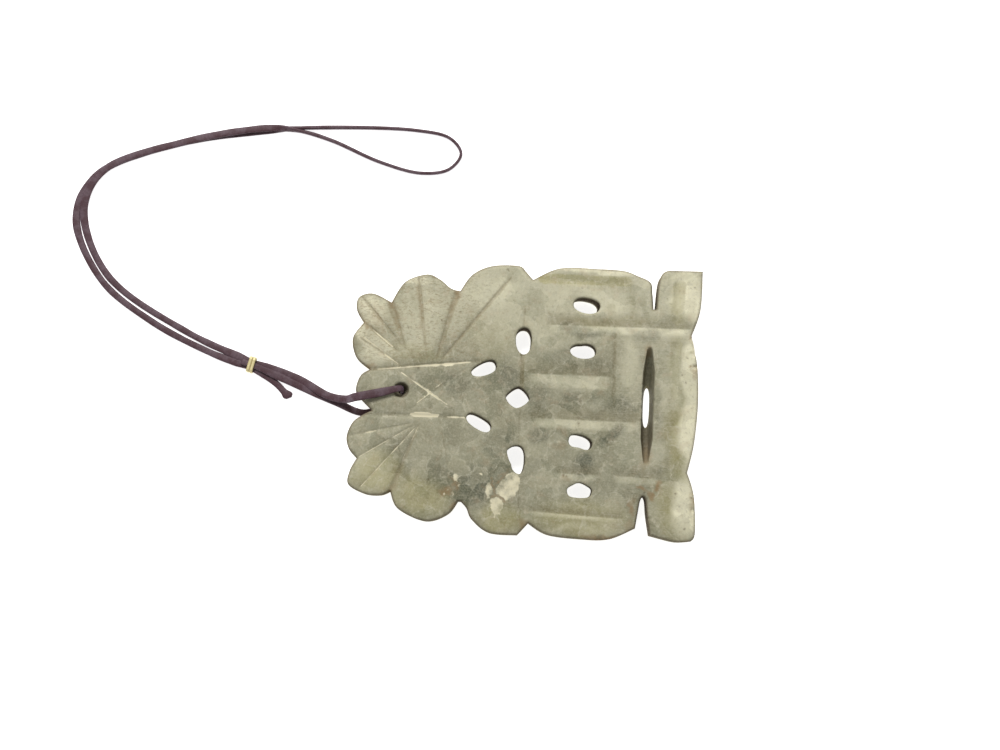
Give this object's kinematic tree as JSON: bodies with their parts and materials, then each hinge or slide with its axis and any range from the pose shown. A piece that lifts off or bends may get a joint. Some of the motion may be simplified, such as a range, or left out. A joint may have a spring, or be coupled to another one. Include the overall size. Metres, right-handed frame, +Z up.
{
  "type": "carved jade pendant",
  "caption": "Flat carved jade plaque shaped as a flower basket, pierced with small openings, on a thin looped hanging cord tied with gold thread.",
  "frame": {"origin": "under the middle of the plaque's outline, on the surface it lies on", "axes": "+X along the plaque from the leaf tips to the basket's foot, +Y across the basket, +Z up out of the carved face"},
  "size_m": [0.1095, 0.0703, 0.0055],
  "materials": {
    "jade": "hand polished, slightly waxy, with cloudy patches, brown stain in the notches and pale dust in the cuts",
    "cord": "dark purple-brown woven cord, matt with a faint silky sheen",
    "gold_thread": "pale gold metallic thread, wound in close turns"
  },
  "bodies": {
    "root": {"jade_plaque": "jade", "silk_cord": "cord", "gold_binding": "gold_thread"}
  },
  "joints": []
}
